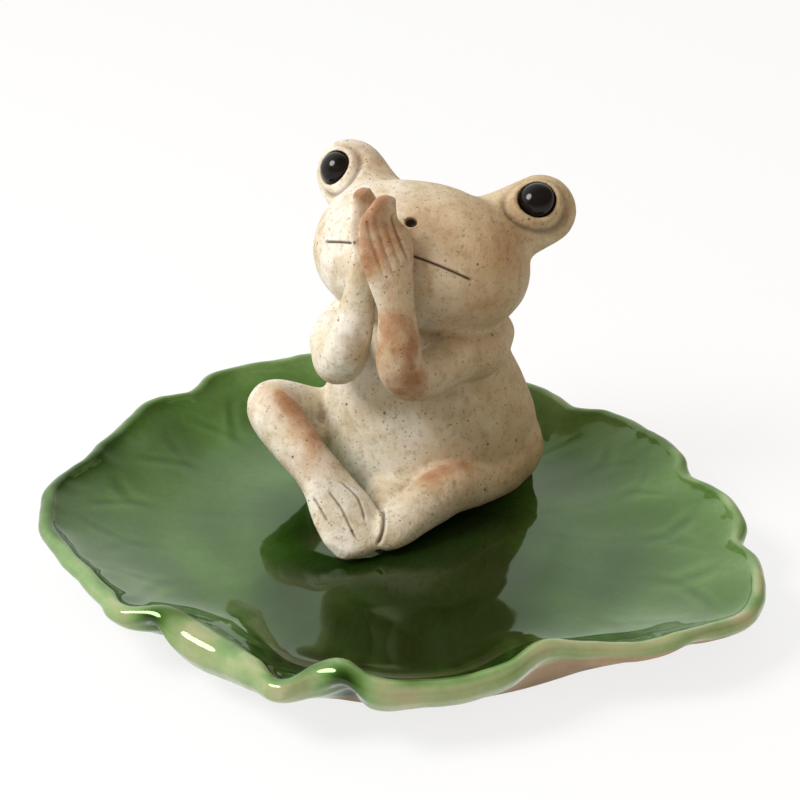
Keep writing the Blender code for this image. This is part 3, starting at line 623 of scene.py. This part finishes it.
def beside(points, facing, plane, near, far, least):
    """Points in a plane's own directions, and which of them lie within its window and face it."""
    origin, axes = plane
    local = (points - origin) @ axes.T
    close = (local[:, 2] > near) & (local[:, 2] < far) & (facing @ axes[2] > least)
    close &= (np.abs(local[:, 0]) < PLANE_HALVES[0]) & (np.abs(local[:, 1]) < PLANE_HALVES[1])
    return local, close


def line_marks(points, facing):
    """How far each point of the skin moves inwards for the needle lines, and how dark they are painted, with
    a brown wash and painted shade.
    """
    move = np.zeros(len(points))
    dark = np.zeros(len(points))
    for plane, line, (near, far), half, depth, shade, fade in LINES:
        local, close = beside(points, facing, plane, near, far, 0.05)
        if plane is FACE:
            close &= on_the_face(points)
        gap, place = away_from(line, local[close, :2])
        ends = ease(place, 0.0, fade) * (1 - ease(place, 1 - fade, 1.0))
        cut = bell(gap, half) * ends
        lip = bell(gap - 2.4 * half, 0.9 * half) * ends
        move[close] += depth * (cut - 0.12 * lip)
        dark[close] = np.maximum(dark[close], cut * shade)
    return move, dark


def near_marks(points, facing, reach, ring):
    """Points within reach half widths of a line, in a nostril, or within ring of a bead well's edge."""
    near = np.zeros(len(points), bool)
    for plane, line, (low, high), half, *_ in LINES:
        local, at = beside(points, facing, plane, low, high, 0.0)
        gap, _ = away_from(line, local[at, :2])
        near[at] |= gap < reach * half
    face = (points - FACE[0]) @ FACE[1].T
    for place in NOSTRILS:
        near |= (np.linalg.norm(face[:, :2] - place, axis=1) < 2) & (face[:, 2] > 4)
    for side in (-1, 1):
        origin, axes = eye_plane(side)
        local = (points - origin) @ axes.T
        away = np.abs(np.linalg.norm(local[:, :2], axis=1) - SOCKET[side])
        near |= (away < ring) & (local[:, 2] > 1)
    return near


def finer(obj, reach, ring):
    """Halve the edges near the needle lines, so that a narrow line has enough points across it."""
    mesh = obj.data
    near = near_marks(points_of(mesh), normals_of(mesh), reach, ring)
    work = bmesh.new()
    work.from_mesh(mesh)
    edges = [e for e in work.edges if near[e.verts[0].index] or near[e.verts[1].index]]
    bmesh.ops.subdivide_edges(work, edges=edges, cuts=1, use_grid_fill=True)
    bmesh.ops.triangulate(work, faces=[f for f in work.faces if len(f.verts) > 4])
    work.to_mesh(mesh)
    work.free()


frog_head = press_together([pebble(), eye_bulb(-1), eye_bulb(1)], "head", grid=0.45, rounds=16)
frog_pieces = [limb("torso", TORSO, (1, 0, 0), rings=60, sides=110),
               limb("lap", LAP, (1, 0, 0), rings=20, sides=40),
               limb("web", WEB, (1, 0, 0), rings=20, sides=40), frog_head]
for stations in (LEFT_ARM, RIGHT_ARM):
    across = np.array([(1, 0, 0)] * 4 + [tuple(PALM_NORMAL)] * (len(stations) - 4), float)
    frog_pieces.append(limb("arm", stations, across, rings=110, sides=44))
for stations in (LEFT_LEG, RIGHT_LEG):
    frog_pieces.append(limb("leg", stations, SOLE_NORMAL, rings=110, sides=44))
frog = press_together(frog_pieces, "frog_clay", grid=0.5, rounds=3)
finer(frog, reach=3.6, ring=2.6)
finer(frog, reach=2.2, ring=0.4)

skin = points_of(frog.data)
facing = normals_of(frog.data)
skin = skin + facing * (0.10 * ripple(skin, 9, 21) + 0.03 * ripple(skin, 3.2, 22))[:, None]
inward, needle_wash_and_shade = line_marks(skin, facing)

# Nostrils and eyes: a pit where each nostril is, a well for each bead with a raised collar and a scored lid,
# and painted shade in the pits, the lid rings and the gap round each bead
face = (skin - FACE[0]) @ FACE[1].T
for place in NOSTRILS:
    gap = np.linalg.norm((face[:, :2] - place) / NOSTRIL_HALVES, axis=1)
    pit = (1 - ease(gap, 0.62, 1.08)) * (face[:, 2] > 4) * on_the_face(skin)
    inward += NOSTRIL_DEPTH * pit
    # Painted shade fills each nostril pit.
    needle_wash_and_shade = np.maximum(needle_wash_and_shade, pit * 1.6)
shift = np.zeros_like(skin)
for side in (-1, 1):
    origin, axes = eye_plane(side)
    local = (skin - origin) @ axes.T
    front = ease(local[:, 2], 0.6, 2.0)
    spread = np.linalg.norm(local[:, :2], axis=1)
    middle, halves, deepest = LID[side]
    oval = (local[:, :2] - middle) / halves
    round_the = np.linalg.norm(oval, axis=1)
    toward = (oval @ (np.array(deepest) / np.linalg.norm(deepest))) / np.maximum(round_the, 1e-6)
    strength = 0.35 + 0.65 * ease(toward, -0.6, 0.7)
    outside_lid = (round_the - 1) * LID_SIZE
    cut = bell(outside_lid, 0.42) * strength * front
    inward += LID_DEPTH * cut - LID_LIP * front * bell(outside_lid - 1.0, 0.5) * strength
    # Painted shade in the ring scored round the bead.
    needle_wash_and_shade = np.maximum(needle_wash_and_shade, 0.55 * cut)
    inward -= COLLAR_RISE * front * bell(spread - SOCKET[side] - 0.6, 0.5)
    well = (1 - ease(spread, SOCKET[side] - 0.05, SOCKET[side] + 0.12)) * front
    shift -= (np.maximum(local[:, 2] - SOCKET_FLOOR, 0) * well)[:, None] * axes[2]
    # Painted shade in the gap round each bead.
    needle_wash_and_shade = np.maximum(needle_wash_and_shade, 0.7 * bell(spread - SOCKET[side], 0.16) * front)
skin = skin - facing * inward[:, None] + shift
BOX_MARGIN = 0.02
low, high = (np.array(corner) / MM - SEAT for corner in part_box("frog"))
skin = np.clip(skin, low + BOX_MARGIN, high - BOX_MARGIN)
frog.data.vertices.foreach_set("co", ((skin + SEAT) * MM).astype(np.float32).ravel())
frog.data.update()
frog.data.shade_smooth()

# Where the kiln toasted the clay, and where brown painted shade falls on the sides away from the lamp and
# between the limbs:
# place, reach and strength of each blush, in frog coordinates. The small blushes at the hand tips, knees and
# left eye stalk are toasting; the broad ones along the left forearm and elbow, on the left of the head and
# body, down the right shin and on the right eye bulb are painted shade.
TOAST_AND_SHADE_SPOTS = [
    ((0.4, -18.6, 56.0), 2.8, 1.0), ((-2.6, -21.2, 52.5), 2.0, 1.2), ((-3.8, -17.8, 57.0), 2.4, 1.2),
    ((-2.3, -22.6, 48.8), 1.7, 1.2), ((-1.2, -22.9, 45.2), 1.5, 0.9), ((1.9, -20.0, 48.5), 4.8, 0.9),
    ((4.0, -23.2, 38.6), 3.8, 0.6), ((4.8, -23.4, 34.0), 4.8, 0.75), ((5.0, -23.6, 29.5), 4.6, 0.6),
    ((6.4, -22.6, 25.6), 4.6, 0.7), ((9.2, -18.6, 9.4), 3.6, 1.0), ((12.2, -13.0, 8.4), 3.8, 0.75),
    ((5.4, -24.0, 6.6), 2.6, 0.2), ((-16.8, -20.2, 19.0), 3.8, 0.9), ((-13.2, -21.4, 15.6), 3.8, 0.65),
    ((-9.2, -23.6, 12.6), 3.6, 0.55), ((-11.4, -25.6, 12.4), 4.0, 0.25), ((-8.6, -27.2, 10.4), 2.8, 0.25),
    ((-6.2, -25.6, 10.0), 2.8, 0.5), (on_head((-13.4, 1.0, 13.0)), 5.6, 0.45),
    ((14.2, -3.0, 44.0), 4.6, 0.65), ((19.6, -4.5, 49.0), 5.0, 0.4), ((6, -10, 47), 8.0, 0.35),
    ((14, -12, 37), 7.0, 0.4), ((14, -9, 24), 6.0, 0.3), ((2.0, -19, 14), 4.0, 0.15)]
toast_and_shade = sum(power * bell(np.linalg.norm(skin - place, axis=1), reach) for place, reach, power in TOAST_AND_SHADE_SPOTS)
# The needle lines' brown wash with painted shade, and the toasting with painted shade, kept for the material
keep(frog.data, "needle_wash_and_shade", np.clip(needle_wash_and_shade, 0, 1))
keep(frog.data, "toast_and_shade", np.clip(toast_and_shade, 0, 1))


# The side of the clay away from the lamp, which the flame flashed brown and which is also painted darker as
# shade: its direction, and where the change starts and ends
SHADE_AND_FLASH_SIDE = (0.85, 0.25, 0.15)
SHADE_AND_FLASH_FROM, SHADE_AND_FLASH_TO = -0.003, 0.015


def stoneware_material():
    """Cream stoneware: slow warm clouds, a side painted darker and browner as shade, toasted blushes mixed
    with painted shade, iron specks and a wash of brown with painted shade in the lines.
    """
    made, tree, shader, place = new_material("speckled_stoneware")
    needle_wash_and_shade = add(tree, "ShaderNodeAttribute", attribute_name="needle_wash_and_shade").outputs["Fac"]
    toast_and_shade = add(tree, "ShaderNodeAttribute", attribute_name="toast_and_shade").outputs["Fac"]
    grain = add(tree, "ShaderNodeGroup", {}, node_tree=FIRED_CLAY)
    tree.links.new(place, grain.inputs["Place"])
    body = ramp(tree, grain.outputs["Cloud"], [(0.30, (0.54, 0.44, 0.29)), (0.43, (0.67, 0.60, 0.46)),
                                               (0.55, (0.75, 0.70, 0.60)), (0.76, (0.80, 0.775, 0.71))])
    warm = ramp(tree, grain.outputs["Cloud"], [(0.30, (0.39, 0.265, 0.135)), (0.48, (0.52, 0.39, 0.225)),
                                               (0.7, (0.62, 0.50, 0.32))])
    # Painted shade with a kiln flash: the side away from the lamp turns darker and browner.
    flank = add(tree, "ShaderNodeVectorMath", {0: place, 1: SHADE_AND_FLASH_SIDE}, operation="DOT_PRODUCT")
    shade_and_flash = stretch(tree, flank.outputs["Value"], SHADE_AND_FLASH_FROM, SHADE_AND_FLASH_TO, 0.0, 0.92)
    body = blend(tree, shade_and_flash, body, warm)
    patch = add(tree, "ShaderNodeTexNoise", {"Vector": place, "Scale": 240.0, "Detail": 4.0}).outputs[0]
    body = blend(tree, stretch(tree, patch, 0.50, 0.68, 0.0, 0.5), body, (0.50, 0.375, 0.215, 1))
    # Toasting and painted shade: the blushes turn the clay red brown, broken up by the patches.
    toast_and_shade_strength = calc(tree, "MULTIPLY", toast_and_shade, stretch(tree, patch, 0.3, 0.62, 0.5, 1.15))
    body = blend(tree, stretch(tree, toast_and_shade_strength, 0.05, 0.8, 0.0, 0.8), body, (0.45, 0.25, 0.115, 1))
    body = blend(tree, stretch(tree, toast_and_shade_strength, 0.55, 1.1, 0.0, 0.7), body, (0.32, 0.12, 0.05, 1))
    sandy = add(tree, "ShaderNodeTexNoise", {"Vector": place, "Scale": 900.0, "Detail": 4.0})
    sandy.inputs["Roughness"].default_value = 0.7
    dust = ramp(tree, sandy.outputs[0], [(0.32, (0.78, 0.75, 0.70)), (0.52, (1, 1, 1))])
    body = blend(tree, 1.0, body, dust, "MULTIPLY")
    body = blend(tree, calc(tree, "MULTIPLY", grain.outputs["Red specks"], 0.5), body, (0.26, 0.12, 0.06, 1))
    body = blend(tree, calc(tree, "MULTIPLY", grain.outputs["Specks"], 0.8), body, (0.07, 0.04, 0.025, 1))
    # Painted shade and a brown wash darken the needle lines, the nostril pits, the lid rings and the gap
    # round each bead.
    body = blend(tree, stretch(tree, needle_wash_and_shade, 0.05, 0.85, 0.0, 0.93), body, (0.045, 0.022, 0.012, 1))
    tree.links.new(body, shader.inputs["Base Color"])
    tree.links.new(stretch(tree, patch, 0.3, 0.7, 0.62, 0.8), shader.inputs["Roughness"])
    height = grain.outputs["Height"]
    bump = add(tree, "ShaderNodeBump", {"Height": height, "Strength": 0.6, "Distance": 0.00016})
    tree.links.new(bump.outputs[0], shader.inputs["Normal"])
    return made


frog.data.materials.append(stoneware_material())
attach(frog, "root")
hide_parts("frog")

# The eyes. Two beads of stoneware under a hard black glaze, each with a flat back and a low dome, set
# into the wells of the eye bulbs and held there by the collar of clay round each well.
BEAD = {1: ("left_eye_bead", 2.88), -1: ("right_eye_bead", 2.72)}
BEAD_BACK = 3.6
BEAD_BEVEL = 0.3
BEAD_SHOULDER = 5.15
BEAD_RISE = 1.95


def turned_bead(side):
    """A profile of radius and height turned about the eye's axis: flat back, straight side, round dome."""
    name, radius = BEAD[side]
    rise = np.linspace(0, 0.96, 22) * math.pi / 2
    back = [(radius * 0.5, BEAD_BACK), (radius - BEAD_BEVEL, BEAD_BACK), (radius, BEAD_BACK + BEAD_BEVEL)]
    dome = np.stack([radius * np.cos(rise), BEAD_SHOULDER + BEAD_RISE * np.sin(rise)], -1)
    profile = np.concatenate([back, dome])
    origin, axes = eye_plane(side)
    turn = np.arange(72) * 2 * math.pi / 72
    local = np.stack([profile[:, :1] * np.cos(turn), profile[:, :1] * np.sin(turn),
                      profile[:, 1:] * np.ones_like(turn)], -1)
    rings = local @ axes + origin + SEAT
    poles = [origin + SEAT + axes[2] * height for height in (BEAD_BACK, BEAD_SHOULDER + BEAD_RISE)]
    return shell(name + "_glazed", rings, *poles)


def bead_material():
    """Black glaze with a faint brown cast where it is thin, and a hard shine."""
    made, tree, shader, place = new_material("black_glaze")
    cloud = add(tree, "ShaderNodeTexNoise", {"Vector": place, "Scale": 700.0, "Detail": 3.0}).outputs[0]
    colour = ramp(tree, cloud, [(0.3, (0.004, 0.0035, 0.004)), (0.75, (0.012, 0.008, 0.006))])
    tree.links.new(colour, shader.inputs["Base Color"])
    tree.links.new(stretch(tree, cloud, 0.3, 0.7, 0.09, 0.15), shader.inputs["Roughness"])
    shader.inputs["IOR"].default_value = 1.33
    return made


BLACK_GLAZE = bead_material()
for side, (node, _) in BEAD.items():
    bead = turned_bead(side)
    bead.data.materials.append(BLACK_GLAZE)
    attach(bead, "root")
    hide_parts(node)

# The studio. A plain white floor that keeps a soft shadow, a pale room that is brightest at the back
# left, as beside a large window, and one round soft lamp at the front left.
FLOOR_HALF = 3.0
WHITE_SHARE = 0.8
BRIGHT_SIDE = (-0.891, 0.454, 0.0)
LAMP_AIM_HEIGHT = 0.025


def white_for_the_eye(tree, other, share):
    """Adds plain white light to what the camera and reflections see of a floor, and leaves the rest."""
    path = add(tree, "ShaderNodeLightPath").outputs
    seen = calc(tree, "MAXIMUM", calc(tree, "MAXIMUM", path["Is Camera Ray"], path["Is Glossy Ray"]),
                path["Is Transmission Ray"])
    white = add(tree, "ShaderNodeEmission", {"Color": (1, 1, 1, 1), "Strength": 1.0}).outputs[0]
    return add(tree, "ShaderNodeMixShader", {0: calc(tree, "MULTIPLY", seen, share), 1: other, 2: white})


floor_mesh = bpy.data.meshes.new("floor")
floor_corners = [(x * FLOOR_HALF, y * FLOOR_HALF, 0) for x, y in ((-1, -1), (1, -1), (1, 1), (-1, 1))]
floor_mesh.from_pydata(floor_corners, [], [(0, 1, 2, 3)])
floor = bpy.data.objects.new("floor", floor_mesh)
bpy.context.scene.collection.objects.link(floor)
floor_paint, floor_tree, floor_shader, _ = new_material("white_floor")
floor_shader.inputs["Base Color"].default_value = (0.9, 0.9, 0.9, 1)
floor_shader.inputs["Roughness"].default_value = 0.9
floor_shader.inputs["Specular IOR Level"].default_value = 0.0
seen_floor = white_for_the_eye(floor_tree, floor_shader.outputs[0], WHITE_SHARE)
floor_tree.links.new(seen_floor.outputs[0], floor_tree.nodes["Material Output"].inputs["Surface"])
floor_mesh.materials.append(floor_paint)

world = bpy.data.worlds.new("pale_room")
world.use_nodes = True
bpy.context.scene.world = world
room = world.node_tree
way = add(room, "ShaderNodeTexCoord").outputs["Generated"]
side = add(room, "ShaderNodeVectorMath", {0: way, 1: BRIGHT_SIDE}, operation="DOT_PRODUCT").outputs["Value"]
path = add(room, "ShaderNodeLightPath").outputs
glow = stretch(room, side, -0.25, 0.85, 0.47, 0.95)
mirrored = stretch(room, side, 0.0, 0.72, 0.25, 1.2)
level = add(room, "ShaderNodeSeparateXYZ", {0: way}).outputs[2]
mirrored = calc(room, "MAXIMUM", mirrored, stretch(room, level, 0.05, 0.38, 0.95, 0.0))
reflecting = calc(room, "MAXIMUM", path["Is Glossy Ray"], path["Is Transmission Ray"])
strength = stretch(room, reflecting, 0.0, 1.0)
room.links.new(glow, strength.node.inputs[3])
room.links.new(mirrored, strength.node.inputs[4])
seen = stretch(room, path["Is Camera Ray"], 0.0, 1.0, 0.0, 1.0)
room.links.new(strength, seen.node.inputs[3])
tint = ramp(room, side, [(0.0, (1.0, 0.87, 0.70)), (0.6, (1.0, 1.0, 1.0))], "LINEAR")
backdrop = room.nodes["Background"].inputs
room.links.new(blend(room, path["Is Camera Ray"], tint, (1, 1, 1, 1)), backdrop["Color"])
room.links.new(seen, backdrop["Strength"])


def lamp(name, turn, rise, distance, size, watts):
    """A round soft lamp that looks at the frog from a turn and a rise in degrees."""
    light = bpy.data.lights.new(name, "AREA")
    light.shape = "DISK"
    light.size = size
    light.energy = watts
    obj = bpy.data.objects.new(name, light)
    bpy.context.scene.collection.objects.link(obj)
    turn, rise = math.radians(turn), math.radians(rise)
    way = Vector((math.sin(turn) * math.cos(rise), -math.cos(turn) * math.cos(rise), math.sin(rise)))
    obj.location = Vector(SEAT * MM) + Vector((0, 0, LAMP_AIM_HEIGHT)) + way * distance
    obj.rotation_euler = way.to_track_quat("Z", "Y").to_euler()


lamp("window", turn=-48, rise=45, distance=0.55, size=0.24, watts=2.6)

# The camera. It stands where the photograph was taken from, to the frog's left and above it, and is
# turned so that the seat of the frog falls on the same pixel as in the photograph.
CAMERA_TURN, CAMERA_RISE, CAMERA_DISTANCE = math.radians(23), math.radians(30), 420.0
FRAME_PIXELS = 800
SEAT_PIXEL = (428, 459)
PIXELS_PER_MM = 5.83
SENSOR_WIDTH = 36
focal = PIXELS_PER_MM * CAMERA_DISTANCE
level_part = math.cos(CAMERA_RISE)
back = Vector((math.sin(CAMERA_TURN) * level_part, -math.cos(CAMERA_TURN) * level_part,
               math.sin(CAMERA_RISE)))
right = Vector((math.cos(CAMERA_TURN), math.sin(CAMERA_TURN), 0))
up = back.cross(right)
aside, below = (FRAME_PIXELS / 2 - pixel for pixel in SEAT_PIXEL)
aim = (-back * focal + right * aside - up * below).normalized()
lens = bpy.data.cameras.new("camera")
lens.sensor_width = SENSOR_WIDTH
lens.lens = SENSOR_WIDTH * focal / FRAME_PIXELS
lens.clip_start = 0.01
lens.clip_end = 20
camera = bpy.data.objects.new("camera", lens)
bpy.context.scene.collection.objects.link(camera)
camera.location = (Vector(SEAT) + back * CAMERA_DISTANCE) * MM
camera.rotation_euler = aim.to_track_quat("-Z", "Y").to_euler()
bpy.context.scene.camera = camera
bpy.context.scene.view_settings.view_transform = "Standard"
